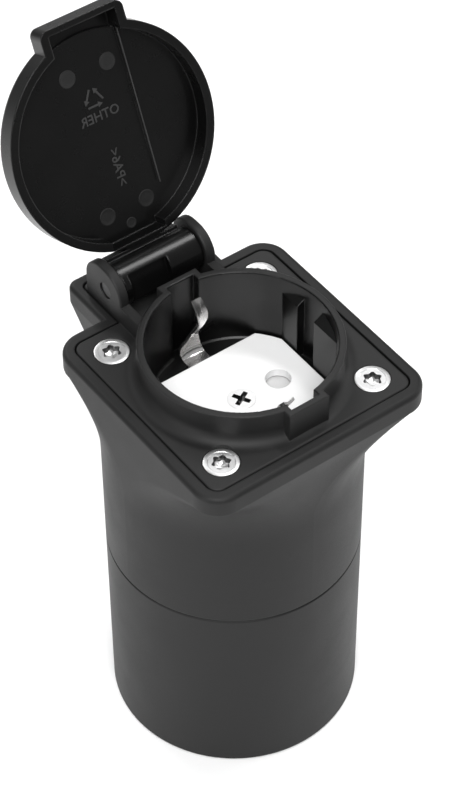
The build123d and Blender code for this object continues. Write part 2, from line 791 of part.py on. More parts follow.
def lid_disc():
    """The round cap with its rounded upper edge, its thumb tab and the recess below."""
    top = rim_height + lid_height
    tab_depth = lid_radius / 2
    cap = post(lid_radius, rim_height, top)
    tab = RectangleRounded(catch_width, tab_depth, catch_corner)
    tab_y = tab_depth / 2 - catch_reach - lid_shift
    cap += prism(Pos(0, tab_y) * tab, rim_height, top)
    cap = fillet(cap.edges().group_by(Axis.Z)[-1], lid_edge_rounding)
    cap -= post(lid_recess_radius, rim_height, rim_height + lid_floor_depth)
    back = lid_recess_back - lid_shift
    cap -= block(lid_recess_width, back, rim_height, rim_height + lid_floor_depth, tongue_shift, back / 2)
    return lid_place() * cap


def tab_pocket():
    """The pocket behind the thumb tab, a little deeper than the floor of the recess."""
    front = catch_reach - catch_wall
    width = catch_width - 2 * catch_side_wall
    depth = lid_radius / 2
    pocket = block(width, depth, rim_height, rim_height + catch_depth, 0, depth / 2 - front)
    floor = post(lid_recess_radius, rim_height + lid_floor_depth, rim_height + lid_height)
    return pocket - lid_place() * floor


def lid_barrel():
    """The barrel that turns on the pin, and its neck to the lid."""
    length = 2 * (ear_inner - fit_gap)
    y = hinge_reach
    middle = Pos(tongue_shift, y, hinge_z) * Rot(0, 90, 0)
    neck = block(lid_neck_width, y - lid_neck_front, rim_height, rim_height + lid_neck_height,
                 tongue_shift, (y + lid_neck_front) / 2)
    neck &= middle * Cylinder(hinge_reach - lid_neck_front + lid_edge_rounding, 2 * length)
    return middle * Cylinder(barrel_radius, length) + neck


def barrel_openings():
    """The pocket in the barrel's underside, left of its middle, and the bore for the pin."""
    length = 2 * (ear_inner - fit_gap)
    pocket_x = tongue_shift - length / 2 + barrel_cheek + barrel_pocket_width / 2
    depth = barrel_pocket_front + barrel_radius
    pocket = block(barrel_pocket_width, depth, hinge_z - 2 * barrel_radius, hinge_z - barrel_pocket_height,
                   pocket_x, hinge_reach + (barrel_radius - barrel_pocket_front) / 2)
    middle = Pos(tongue_shift, hinge_reach, hinge_z) * Rot(0, 90, 0)
    return pocket + middle * Cylinder(pin_radius + running_gap, 2 * length)


def lid_rib():
    """The thin tapering rib across the inside of the lid."""
    floor_height = rim_height + lid_floor_depth
    side = make_face(Polyline(
        (-rib_front, floor_height + rib_height / 2), (-rib_front, floor_height - rib_height),
        (rib_back, floor_height), (rib_back, floor_height + rib_height / 2), close=True))
    return Pos(rib_offset, 0, 0) * extrude(Plane.YZ * side, rib_width / 2, both=True)


def make_lid():
    """The lid, swung open about the hinge and moved to the socket."""
    lid = lid_disc() - tab_pocket() + lid_barrel() + lid_rib() - barrel_openings()
    swing = Pos(0, hinge_y, hinge_z) * Rot(-open_angle, 0, 0) * Pos(0, -hinge_y, -hinge_z)
    return swing * socket_axis * lid


def make_hinge_pin():
    """The pin through both ears and the barrel."""
    return hinge_line * Cylinder(pin_radius, tongue_width - 2 * fit_gap)


nodes = {
    "upper_housing": make_upper_housing(),
    "lower_sleeve": make_lower_sleeve(),
    "insert_ring": make_insert_ring(),
    "body_seal": make_body_seal(),
    "socket_frame": make_socket_frame(),
    "frame_gasket": make_frame_gasket(),
    "contact_cover": make_contact_cover(),
    "cover_screw": make_cover_screw(),
    "shutter": make_shutter(),
    "shutter_spring": make_shutter_spring(),
    "earth_strap": make_earth_strap(),
    "contact_base": make_contact_base(),
    "line_contact": make_live_contact(1),
    "neutral_contact": make_live_contact(-1),
    "line_terminal_screw": make_terminal_screw(1),
    "neutral_terminal_screw": make_terminal_screw(-1),
    "line_wire": make_live_wire(1),
    "neutral_wire": make_live_wire(-1),
    "earth_wire": make_earth_wire(),
    "plug_insert": make_plug_insert(),
    "insert_face": make_insert_face(),
    "contact_carrier": make_contact_carrier(),
    "contact_retainer": make_retainer(),
    "coding_resistor": make_coding_resistor(),
    "lid": make_lid(),
    "hinge_pin": make_hinge_pin(),
}
for name, (x, y) in screw_places.items():
    nodes[name] = make_flange_screw(x, y)
for number, (x, y) in enumerate(insert_screw_places, 1):
    nodes[f"insert_screw_{number}"] = make_insert_screw(x, y)
for name, (x, y) in power_places.items():
    nodes[name] = make_contact_sleeve(power_sleeve_radius, power_bore_radius, x, y)
for name, (x, y) in signal_places.items():
    nodes[name] = make_contact_sleeve(signal_sleeve_radius, signal_bore_radius, x, y)

for name, shape in nodes.items():
    export_step(shape, f"parts/{name}.step")
    print(name, round(shape.volume, 1))
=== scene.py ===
# %% [markdown]
# # A vehicle to load adapter, dressed in Blender
#
# The object is a hand-sized adapter: a round black shell that grows into a square flange,
# with an earthed mains socket under a hinged lid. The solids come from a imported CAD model.
# This lesson gives them their finishes and adds the detail that a camera sees.

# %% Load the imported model
from math import cos, pi, radians, sin, sqrt

import bmesh
import bpy
from mathutils import Matrix, Vector


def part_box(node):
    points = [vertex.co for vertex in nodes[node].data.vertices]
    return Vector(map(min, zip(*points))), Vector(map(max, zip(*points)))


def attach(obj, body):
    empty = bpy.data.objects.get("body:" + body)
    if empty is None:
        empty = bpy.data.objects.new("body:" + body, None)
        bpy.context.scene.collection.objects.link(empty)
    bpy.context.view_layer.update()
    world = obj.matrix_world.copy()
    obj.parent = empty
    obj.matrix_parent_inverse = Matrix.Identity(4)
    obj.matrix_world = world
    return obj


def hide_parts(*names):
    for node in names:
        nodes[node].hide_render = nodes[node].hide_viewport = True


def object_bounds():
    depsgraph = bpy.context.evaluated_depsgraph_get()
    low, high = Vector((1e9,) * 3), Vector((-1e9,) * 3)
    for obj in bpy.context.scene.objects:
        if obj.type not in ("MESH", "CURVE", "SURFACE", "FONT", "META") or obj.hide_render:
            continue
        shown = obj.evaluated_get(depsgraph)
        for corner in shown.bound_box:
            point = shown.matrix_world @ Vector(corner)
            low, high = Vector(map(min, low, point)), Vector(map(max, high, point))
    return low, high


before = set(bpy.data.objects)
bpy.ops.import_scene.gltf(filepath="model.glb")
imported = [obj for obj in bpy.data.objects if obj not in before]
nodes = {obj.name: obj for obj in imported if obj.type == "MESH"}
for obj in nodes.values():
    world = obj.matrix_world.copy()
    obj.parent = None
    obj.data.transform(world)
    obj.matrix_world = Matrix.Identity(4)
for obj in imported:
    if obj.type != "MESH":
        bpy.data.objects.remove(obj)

cad_low, cad_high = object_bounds()
MM = 0.001
print("nodes:", len(nodes), "box:", [round(v, 4) for v in (*cad_low, *cad_high)])

# %% [markdown]
# ## The camera
#
# The photograph was taken from the front left and well above, through a long lens. The flange's
# corners, the screws and the sleeve's rims fix where the camera stood. A long lens far away keeps
# upright edges nearly parallel, so the distance matters as much as the direction.

# %% Place the camera
camera_azimuth = radians(-36.152)
camera_elevation = radians(46.821)
camera_roll = radians(-0.389)
camera_distance = 545.185 * MM
# The picture's middle: how far it is to the right of the object's axis, and how high.
aim_side = 0.173 * MM
aim_height = 88.862 * MM
# Blender counts the lens and the film in millimetres.
lens_length = 117.83
film_width = 36
nearest_seen = 10 * MM


def aim_camera():
    """A camera that looks at the socket from the front left."""
    level = cos(camera_elevation)
    back = Vector((sin(camera_azimuth) * level, -cos(camera_azimuth) * level,
                   sin(camera_elevation)))
    aim = Vector((aim_side * cos(camera_azimuth), aim_side * sin(camera_azimuth), aim_height))
    flat_right = Vector((0, 0, 1)).cross(back).normalized()
    flat_up = back.cross(flat_right)
    right = flat_right * cos(camera_roll) + flat_up * sin(camera_roll)
    up = flat_up * cos(camera_roll) - flat_right * sin(camera_roll)
    data = bpy.data.cameras.new("camera")
    data.lens = lens_length
    data.sensor_width = film_width
    data.clip_start = nearest_seen
    camera = bpy.data.objects.new("camera", data)
    turn = Matrix((right, up, back)).transposed().to_4x4()
    camera.matrix_world = Matrix.Translation(aim + back * camera_distance) @ turn
    bpy.context.scene.collection.objects.link(camera)
    bpy.context.scene.camera = camera
    return camera


camera = aim_camera()
print("camera at", [round(v, 3) for v in camera.matrix_world.translation])

# %% [markdown]
# ## The light
#
# A catalogue photograph like this one is lit by big soft boxes on a white table. The ambient light
# is even, so black plastic looks charcoal. The soft boxes give the long highlights on the hinge's
# barrel and the bright edges, and the side away from the main lamp stays a little darker.

# %% Light the studio
ambient_strength = 0.25
# Each lamp has a place and an aim in metres, a width and a height in metres, and its watts.
soft_boxes = {
    "key_light": ((-0.25, -0.35, 0.75), (0, 0, 0.08), (0.5, 0.5), 7.0),
    "side_light": ((0.75, -0.15, 0.35), (0, 0, 0.06), (0.35, 0.7), 2.0),
    "back_light": ((0.1, 0.7, 0.6), (0, 0, 0.1), (0.6, 0.4), 3.5),
    "top_light": ((0.40, 0.15, 1.0), (0, 0, 0.1), (0.42, 0.12), 3.0),
    "left_light": ((-0.65, -0.05, 0.22), (0, 0, 0.14), (0.12, 0.45), 1.2),
}


def soft_box(name, place, aim, size, watts):
    """A soft rectangular lamp that faces a point."""
    data = bpy.data.lights.new(name, "AREA")
    data.shape = "RECTANGLE"
    data.size, data.size_y = size
    data.energy = watts
    lamp = bpy.data.objects.new(name, data)
    lamp.location = place
    lamp.rotation_euler = (Vector(aim) - Vector(place)).to_track_quat("-Z", "Y").to_euler()
    bpy.context.scene.collection.objects.link(lamp)


world = bpy.data.worlds.new("studio")
bpy.context.scene.world = world
world.use_nodes = True
sky = world.node_tree.nodes["Background"]
sky.inputs["Color"].default_value = (1.0, 1.0, 1.0, 1.0)
sky.inputs["Strength"].default_value = ambient_strength
for name, settings in soft_boxes.items():
    soft_box(name, *settings)
bpy.context.scene.view_settings.view_transform = "Standard"
print("soft boxes:", len(soft_boxes))

# %% [markdown]
# ## The table top
#
# The adapter stands on a plain pale table. It only has to show the contact shadow, so one flat
# mesh is enough.

# %% Lay the floor
floor_reach = 3.0
floor_colour = (0.93, 0.93, 0.93, 1.0)
floor_roughness = 0.9


def lay_floor():
    """A wide pale table top just under the adapter."""
    mesh = bpy.data.meshes.new("floor")
    shape = bmesh.new()
    bmesh.ops.create_grid(shape, x_segments=2, y_segments=2, size=floor_reach)
    bmesh.ops.translate(shape, verts=shape.verts, vec=(0, 0, cad_low[2]))
    shape.to_mesh(mesh)
    shape.free()
    floor = bpy.data.objects.new("floor", mesh)
    bpy.context.scene.collection.objects.link(floor)
    table_top = bpy.data.materials.new("white_table")
    table_top.use_nodes = True
    surface = table_top.node_tree.nodes["Principled BSDF"]
    surface.inputs["Base Color"].default_value = floor_colour
    surface.inputs["Roughness"].default_value = floor_roughness
    mesh.materials.append(table_top)


lay_floor()
print("floor at", round(cad_low[2], 5))

# %% [markdown]
# ## How the materials are made
#
# Every finish is a small graph of nodes: a colour that varies a little over the piece, a roughness
# that varies with it, and a bump for the grain. The nodes are added by the script, so one helper
# serves every material. Textures read the Object coordinates, which are metres on the piece itself,
# so a grain keeps its real size and stays in place when the lid turns.

# %% Start a graph of nodes
def add_node(tree, kind, inputs=None, **settings):
    """A new node. Each input takes either a link from an output or a plain value."""
    node = tree.nodes.new(kind)
    for key, value in settings.items():
        setattr(node, key, value)
    for key, value in (inputs or {}).items():
        if isinstance(value, bpy.types.NodeSocket):
            tree.links.new(value, node.inputs[key])
        else:
            node.inputs[key].default_value = value
    return node


class Graph:
    """A material's node tree, with its surface and the place that its textures read."""

    def __init__(self, name):
        self.material = bpy.data.materials.new(name)
        self.material.use_nodes = True
        self.tree = self.material.node_tree
        self.surface = self.tree.nodes["Principled BSDF"]
        self.place = self.add("ShaderNodeTexCoord").outputs["Object"]

    def add(self, kind, inputs=None, **settings):
        """A new node in this tree."""
        return add_node(self.tree, kind, inputs, **settings)

    def finish(self, colour, rough, normal, **constants):
        """The material, after its surface has taken three outputs and some constants."""
        outputs = {"Base Color": colour, "Roughness": rough, "Normal": normal}
        for name, output in outputs.items():
            self.tree.links.new(output, self.surface.inputs[name])
        for name, value in constants.items():
            self.surface.inputs[name.replace("_", " ")].default_value = value
        return self.material


print("graphs can be made")

# %% [markdown]
# ## Noise, colours and sums
#
# A moulded surface is never quite even. Noise in two sizes imitates it: a broad cloud for the way
# the plastic flowed and a fine one for the grain. Most values of the noise lie between 0.3 and 0.7,
# so a range is stretched between those two, and not between 0 and 1.

# %% Write the patterns
noise_low, noise_high = 0.3, 0.7


def noise(graph, size, detail=3.0, rough=0.5):
    """Noise whose features are about one size, in metres."""
    return graph.add("ShaderNodeTexNoise", {
        "Vector": graph.place, "Scale": 1 / size, "Detail": detail, "Roughness": rough,
    }).outputs["Fac"]


def blend(graph, factor, low, high, start=0.35, stop=0.65):
    """A colour that goes from low to high with a factor."""
    node = graph.add("ShaderNodeValToRGB", {"Fac": factor})
    first, last = node.color_ramp.elements
    first.position, first.color = start, (*low, 1)
    last.position, last.color = stop, (*high, 1)
    return node.outputs["Color"]


def spread(graph, factor, low, high):
    """A number that goes from low to high with a factor."""
    return graph.add("ShaderNodeMapRange", {
        "Value": factor, "From Min": noise_low, "From Max": noise_high,
        "To Min": low, "To Max": high,
    }).outputs["Result"]


def mix(graph, first, second, share):
    """Two numbers mixed, with a share of the second."""
    node = graph.add("ShaderNodeMix", {"Factor": share, "A": first, "B": second})
    return node.outputs["Result"]


def grey(value, warmth=0.0):
    """A nearly neutral colour."""
    return (value * (1 + warmth), value, value * (1 - warmth))


print("patterns are ready")

# %% [markdown]
# ## Soft edges and grain
#
# Every moulded edge has a small radius that catches the light. The CAD mesh has to stay as it is,
# so the radius is only in the normal: a bevel node rounds the shading near sharp edges. The grain
# is a bump on top of it, a few thousandths of a millimetre deep.

# %% Write the normals
bevel_samples = 6


def soften(graph, radius):
    """A normal that is rounded near sharp edges."""
    return graph.add("ShaderNodeBevel", {"Radius": radius}, samples=bevel_samples).outputs["Normal"]


def bump(graph, height, depth, normal=None):
    """A normal that follows a height, as deep as given in metres."""
    inputs = {"Height": height, "Strength": 1.0, "Distance": depth}
    if normal is not None:
        inputs["Normal"] = normal
    return graph.add("ShaderNodeBump", inputs).outputs["Normal"]


print("normals are ready")

# %% [markdown]
# ## Two plastics and a metal
#
# Grained plastic comes from a mould that was eroded by sparks, and polished plastic from a mould
# that was lapped. Metal has no grain here. Its colour and its shine vary with the marks of
# handling. All three share the patterns above and differ in their numbers.

# %% Write the plastics and the metal
cloud_size = 9 * MM
polished_cloud_size, polished_fine_size = 14 * MM, 4 * MM
handling_size, handling_depth = 3 * MM, 0.0003 * MM
gloss_swing = 0.06
coat_roughness = 0.12


def moulded_plastic(name, greys, rough, grain, depth, edge, shine=0.4):
    """Textured plastic as it leaves the mould, with a fine grain and soft edges."""
    graph = Graph(name)
    cloud = noise(graph, cloud_size, detail=4.0)
    fine = noise(graph, grain, detail=2.0, rough=0.6)
    colour = blend(graph, mix(graph, cloud, fine, share=0.35), *map(grey, greys))
    both = mix(graph, cloud, fine, share=0.5)
    gloss = spread(graph, both, rough - gloss_swing, rough + gloss_swing)
    normal = bump(graph, fine, depth, soften(graph, edge))
    return graph.finish(colour, gloss, normal, Specular_IOR_Level=shine)


def polished_plastic(name, greys, rough, coat, edge, shine=0.5):
    """Plastic from a polished mould, smooth, with a shine that varies a little."""
    graph = Graph(name)
    colour = blend(graph, noise(graph, polished_cloud_size), *map(grey, greys))
    fine = noise(graph, polished_fine_size, detail=4.0)
    gloss = spread(graph, fine, 0.96 * rough, 1.04 * rough)
    return graph.finish(colour, gloss, soften(graph, edge), Coat_Weight=coat,
                        Coat_Roughness=coat_roughness, Specular_IOR_Level=shine)


def metal(name, dark, light, rough, grain, bare=1.0):
    """Bare or plated metal with fine handling marks in its colour and its shine."""
    graph = Graph(name)
    cloud = noise(graph, handling_size, detail=4.0)
    fine = noise(graph, grain, detail=3.0, rough=0.6)
    colour = blend(graph, mix(graph, cloud, fine, share=0.4), dark, light)
    gloss = spread(graph, mix(graph, fine, cloud, share=0.5), 0.9 * rough, 1.1 * rough)
    normal = bump(graph, cloud, handling_depth)
    return graph.finish(colour, gloss, normal, Metallic=bare)


print("plastics and metals can be made")

# %% [markdown]
# ## The socket's own plastic
#
# The socket's frame is one moulding with two finishes: grained outside its collar and polished
# inside it, where the walls look blacker and carry reflections of the white cover. The CAD mesh
# isn't cut or painted face by face, so the material itself asks how far a point lies from the
# socket's axis and takes one finish or the other.

# %% Write the socket's plastic
bore_radius = 19.85 * MM
pocket_half_width = 3.5 * MM
pocket_reach = 21.6 * MM
grained_grey, polished_grey = (0.007, 0.010), (0.002, 0.003)
grained_gloss, polished_gloss = (0.50, 0.62), (0.27, 0.31)


def calculate(graph, operation, *values):
    """The result of one operation on outputs and numbers."""
    node = graph.add("ShaderNodeMath", dict(enumerate(values)), operation=operation)
    return node.outputs["Value"]


def inside_socket(graph, axis_y):
    """1 on the walls inside the collar and its two pockets and 0 elsewhere."""
    split = graph.add("ShaderNodeSeparateXYZ", {"Vector": graph.place})
    x = split.outputs["X"]
    y = calculate(graph, "SUBTRACT", split.outputs["Y"], axis_y)
    squares = [calculate(graph, "MULTIPLY", length, length) for length in (x, y)]
    reach = calculate(graph, "SQRT", calculate(graph, "ADD", *squares))
    in_bore = calculate(graph, "LESS_THAN", reach, bore_radius)
    in_strip = calculate(graph, "LESS_THAN", calculate(graph, "ABSOLUTE", x), pocket_half_width)
    in_reach = calculate(graph, "LESS_THAN", reach, pocket_reach)
    in_pocket = calculate(graph, "MULTIPLY", in_strip, in_reach)
    return calculate(graph, "MAXIMUM", in_bore, in_pocket)


def socket_plastic(name, axis_y, grain, depth, edge, shine):
    """Black plastic with a fine grain outside the socket's collar and a polish inside it."""
    graph = Graph(name)
    cloud = noise(graph, cloud_size, detail=4.0)
    fine = noise(graph, grain, detail=2.0, rough=0.6)
    inside = inside_socket(graph, axis_y)
    both = mix(graph, cloud, fine, share=0.35)
    colour = mix(graph, spread(graph, both, *grained_grey), spread(graph, cloud, *polished_grey),
                 share=inside)
    gloss = mix(graph, spread(graph, both, *grained_gloss), spread(graph, cloud, *polished_gloss),
                share=inside)
    height = mix(graph, fine, cloud, share=inside)
    normal = bump(graph, height, depth, soften(graph, edge))
    return graph.finish(colour, gloss, normal, Specular_IOR_Level=shine)


print("the socket's plastic can be made")

# %% [markdown]
# ## The moulded parts
#
# The shell is a dark charcoal with a fine matt grain. The socket's frame is the same plastic with
# a slightly finer grain. The lid comes from a polished mould. It is the blackest part and shows
# long highlights on its rounded rim and on the hinge's barrel. The marks raised inside it come
# from engraved spots that weren't polished, so they look paler than the floor around them.

# %% Finish the plastics
cover_low, cover_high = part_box("contact_cover")
socket_y = (cover_low[1] + cover_high[1]) / 2
shell_plastic = moulded_plastic("shell_plastic", (0.008, 0.011), rough=0.52, grain=0.28 * MM,
                                depth=0.010 * MM, edge=0.45 * MM, shine=0.24)
frame_plastic = socket_plastic("frame_plastic", socket_y, grain=0.22 * MM,
                               depth=0.008 * MM, edge=0.35 * MM, shine=0.32)
insert_plastic = moulded_plastic("insert_plastic", (0.018, 0.024), rough=0.42, grain=0.25 * MM,
                                 depth=0.006 * MM, edge=0.25 * MM)
base_plastic = moulded_plastic("base_plastic", (0.16, 0.20), rough=0.50, grain=0.3 * MM,
                               depth=0.008 * MM, edge=0.25 * MM)
shutter_plastic = moulded_plastic("shutter_plastic", (0.50, 0.55), rough=0.45, grain=0.3 * MM,
                                  depth=0.004 * MM, edge=0.2 * MM)
mark_plastic = moulded_plastic("mark_plastic", (0.008, 0.011), rough=0.55, grain=0.2 * MM,
                               depth=0.004 * MM, edge=0.1 * MM, shine=0.3)
# A paler plastic for the raised letters and arrows, and as a painted highlight on the rib's crest.
raised_and_highlight_plastic = moulded_plastic("raised_and_highlight_plastic", (0.024, 0.030), rough=0.45, grain=0.2 * MM,
                                 depth=0.004 * MM, edge=0.1 * MM)
rubber = moulded_plastic("rubber", (0.010, 0.014), rough=0.7, grain=0.2 * MM,
                         depth=0.004 * MM, edge=0.1 * MM)
lid_plastic = polished_plastic("lid_plastic", (0.002, 0.003), rough=0.28, coat=0.1,
                               edge=0.5 * MM, shine=0.25)
cover_plastic = polished_plastic("cover_plastic", (0.88, 0.92), rough=0.22, coat=0.3,
                                 edge=0.3 * MM)
print("socket axis at y", round(socket_y, 5))

# %% [markdown]
# ## The metals
#
# The screws are stainless steel. The earth strap is bright plated spring steel. The contacts are
# brass, and the sleeves for the vehicle's pins are silver plated. The recesses of the screws get
# a darker steel as painted shade, because the photograph shows them nearly black beside the
# bright heads.

# %% Finish the metals
stainless = metal("stainless", grey(0.66), grey(0.74), rough=0.38, grain=0.5 * MM)
bright_zinc = metal("bright_zinc", grey(0.86), grey(0.92), rough=0.40, grain=0.5 * MM, bare=0.45)
dark_steel = metal("dark_steel", grey(0.03), grey(0.05), rough=0.35, grain=0.5 * MM)
# A darker steel, painted into the screws' recesses as shade.
recess_shade_steel = metal("recess_shade_steel", grey(0.10), grey(0.16), rough=0.35, grain=0.5 * MM)
plated_steel = metal("plated_steel", grey(0.84, 0.01), grey(0.90, 0.01), rough=0.25,
                     grain=0.6 * MM)
brass = metal("brass", (0.62, 0.43, 0.16), (0.74, 0.54, 0.22), rough=0.24, grain=0.3 * MM)
silver = metal("silver", (0.74, 0.72, 0.68), (0.84, 0.82, 0.78), rough=0.2, grain=0.3 * MM)
print("metals:", stainless.name, bright_zinc.name, plated_steel.name, brass.name, silver.name)

# %% [markdown]
# ## The wires
#
# The wires have the usual brown, blue and green with yellow, so someone who opens the model sees
# which wire goes where. The yellow of the earth wire is on one side of the object's middle, so a
# ramp with a sharp step along x is enough to draw it.

# %% Finish the wires
shade_share = 0.85
stripe_border = 0.0001


def insulation(name, colour, stripe=None):
    """Smooth wire insulation, with a stripe along one side where it has two colours."""
    graph = Graph(name)
    if stripe:
        split = graph.add("ShaderNodeSeparateXYZ", {"Vector": graph.place})
        base = blend(graph, split.outputs["X"], colour, stripe, start=0.0, stop=stripe_border)
    else:
        shade = tuple(shade_share * part for part in colour)
        base = blend(graph, noise(graph, 2 * MM), shade, colour)
    gloss = spread(graph, noise(graph, 1 * MM), 0.35, 0.5)
    return graph.finish(base, gloss, bump(graph, noise(graph, 0.4 * MM), 0.003 * MM))


line_insulation = insulation("line_insulation", (0.16, 0.06, 0.025))
neutral_insulation = insulation("neutral_insulation", (0.02, 0.09, 0.42))
earth_insulation = insulation("earth_insulation", (0.05, 0.32, 0.05), (0.75, 0.62, 0.04))
print("wires:", line_insulation.name, neutral_insulation.name, earth_insulation.name)

# %% [markdown]
# ## The coding resistor
#
# The resistor carries painted bands. They are rings round its body, so the colour is picked from a
# ramp by the distance along the body's axis. The ramp doesn't blend, because a painted band has a
# sharp border.

# %% Finish the resistor
half_body = 3.2 * MM
tan, bare_lead, brown = (0.55, 0.42, 0.24, 1), (0.5, 0.5, 0.5, 1), (0.25, 0.12, 0.02, 1)
black, red, gold = (0.01, 0.01, 0.01, 1), (0.45, 0.03, 0.02, 1), (0.5, 0.36, 0.08, 1)
bands = [(0.0, bare_lead), (0.04, tan), (0.22, brown), (0.3, tan), (0.42, black), (0.5, tan),
         (0.62, red), (0.7, tan), (0.82, gold), (0.9, tan), (0.96, bare_lead)]


def resistor_paint():
    """Tan lacquer with coloured bands round the body and bare leads."""
    graph = Graph("resistor_paint")
    low, high = (Vector(corner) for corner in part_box("coding_resistor"))
    along = Vector((high.x - low.x, high.y - low.y, 0)).normalized()
    offset = graph.add("ShaderNodeVectorMath", {0: graph.place, 1: (low + high) / 2},
                       operation="SUBTRACT")
    reach = graph.add("ShaderNodeVectorMath", {0: offset.outputs["Vector"], 1: along},
                      operation="DOT_PRODUCT")
    scale = graph.add("ShaderNodeMapRange", {
        "Value": reach.outputs["Value"], "From Min": -half_body, "From Max": half_body})
    node = graph.add("ShaderNodeValToRGB", {"Fac": scale.outputs["Result"]})
    ramp = node.color_ramp
    ramp.interpolation = "CONSTANT"
    ramp.elements[0].color = bands[0][1]
    ramp.elements[1].position, ramp.elements[1].color = bands[-1]
    for position, colour in bands[1:-1]:
        ramp.elements.new(position).color = colour
    gloss = spread(graph, noise(graph, 0.8 * MM), 0.25, 0.4)
    normal = bump(graph, noise(graph, 0.5 * MM), 0.004 * MM)
    return graph.finish(node.outputs["Color"], gloss, normal)


resistor_lacquer = resistor_paint()
print("bands on the resistor:", len(bands))

# %% [markdown]
# ## Paint the CAD nodes
#
# Each CAD node gets its finish here. Its mesh isn't touched, only its material slots are. The
# nodes that an added piece stands for later are painted too, so the list is complete.

# %% Paint the CAD nodes
painted = {
    shell_plastic: ["upper_housing", "lower_sleeve"],
    frame_plastic: ["socket_frame"],
    insert_plastic: ["plug_insert", "insert_ring", "insert_face", "contact_carrier",
                     "contact_retainer"],
    base_plastic: ["contact_base"],
    shutter_plastic: ["shutter"],
    lid_plastic: ["lid"],
    cover_plastic: ["contact_cover"],
    dark_steel: ["hinge_pin"],
    stainless: ["shutter_spring", "cover_screw", "flange_screw_front_left",
                "flange_screw_front_right", "flange_screw_back_left", "flange_screw_back_right"],
    plated_steel: ["earth_strap", "line_terminal_screw", "neutral_terminal_screw",
                   "insert_screw_1", "insert_screw_2", "insert_screw_3"],
    brass: ["line_contact", "neutral_contact"],
    silver: ["line_sleeve", "neutral_sleeve", "earth_sleeve", "pilot_sleeve", "proximity_sleeve"],
    rubber: ["body_seal", "frame_gasket"],
    line_insulation: ["line_wire"],
    neutral_insulation: ["neutral_wire"],
    earth_insulation: ["earth_wire"],
    resistor_lacquer: ["coding_resistor"],
}


def paint(material, name):
    """Gives a CAD node a material."""
    slots = nodes[name].material_slots
    if not slots:
        nodes[name].data.materials.append(material)
    for slot in slots:
        slot.material = material


for material, names in painted.items():
    for name in names:
        paint(material, name)
print("painted nodes:", sum(len(names) for names in painted.values()), "of", len(nodes))

# %% [markdown]
# ## Helpers for the added pieces
#
# The CAD model already has the true shapes. The camera sees more at a few places: the heads of the
# flange screws, the cross recess of the cover's screw, the marks and the rounded rib inside the
# lid, and the pressed form of the earth clips. Most of these are a skin over a row of rings,
# because a ring can be a circle, a star or a cross and the skin between two rings stays the same.

# %% Write the mesh helpers
def smooth(mesh, angle=35):
    """Smooth shading with the sharper edges kept."""
    mesh.shade_smooth()
    mesh.set_sharp_from_angle(angle=radians(angle))


def add_piece(name, shape, material, body):
    """A bmesh as a finished piece that rides on a CAD body."""
    mesh = bpy.data.meshes.new(name)
    bmesh.ops.recalc_face_normals(shape, faces=shape.faces)
    shape.to_mesh(mesh)
    shape.free()
    mesh.materials.append(material)
    smooth(mesh)
    piece = bpy.data.objects.new(name, mesh)
    bpy.context.scene.collection.objects.link(piece)
    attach(piece, body)
    return piece


def ring_points(outline, height, centre=(0, 0)):
    """Corner points of a closed outline given as radius and angle, at one height."""
    return [Vector((centre[0] + r * cos(a), centre[1] + r * sin(a), height)) for r, a in outline]


def skin_rings(shape, rings, close=True):
    """Faces between rings that have the same number of points, and over both ends."""
    loops = [[shape.verts.new(point) for point in ring] for ring in rings]
    count = len(loops[0])
    for lower, upper in zip(loops, loops[1:]):
        for i in range(count):
            j = (i + 1) % count
            shape.faces.new((lower[i], lower[j], upper[j], upper[i]))
    if close:
        shape.faces.new(loops[0])
        shape.faces.new(loops[-1])
    return loops


print("mesh helpers are ready")

# %% [markdown]
# ## Outlines
#
# An outline is a list of radius and angle. In that form a circle, a six-lobed star and a cross can
# have the same number of points, so the skin between them needs no other care. An outline is made
# narrower or wider by its radius alone.

# %% Write the outlines
outline_points = 96
nearly_zero = 0.001


def circle(radius, count=outline_points):
    """A round outline."""
    return [(radius, 2 * pi * i / count) for i in range(count)]


def lobes(radius, depth, number=6, fullness=0.8):
    """A round outline with a number of lobes."""
    return [(radius - depth * (0.5 - 0.5 * cos(number * angle)) ** fullness, angle)
            for radius, angle in circle(radius)]


def cross(reach, half_width):
    """A cross-shaped outline."""
    outline = []
    for _, angle in circle(reach):
        near, far = sorted((abs(cos(angle)), abs(sin(angle))))
        along = reach / far
        across = half_width / near if near > nearly_zero else along
        outline.append((max(min(along, across), half_width * sqrt(2)), angle))
    return outline


def scaled(outline, factor):
    """The same outline, smaller or larger by a factor."""
    return [(factor * r, a) for r, a in outline]


def widened(outline, distance):
    """The same outline, moved outwards."""
    return [(r + distance, a) for r, a in outline]


print("points in an outline:", outline_points)

# %% [markdown]
# ## One flange screw
#
# Four equal countersunk screws with a six-lobe recess hold the socket's frame. One screw is a stack
# of rings: the shank, the cone, the rounded rim, a shallow step and the lobed recess. The recess
# gets a small chamfer and narrows as it goes down, as a pressed recess does.

# %% Build one screw
shank_radius = 1.9 * MM
shank_length = 13 * MM
head_side = 0.5 * MM
step_depth = 0.08 * MM
recess_radius, lobe_depth = 1.95 * MM, 0.5 * MM
recess_chamfer, chamfer_depth = 0.12 * MM, 0.2 * MM
recess_depth, recess_tip = 1.25 * MM, 0.25 * MM


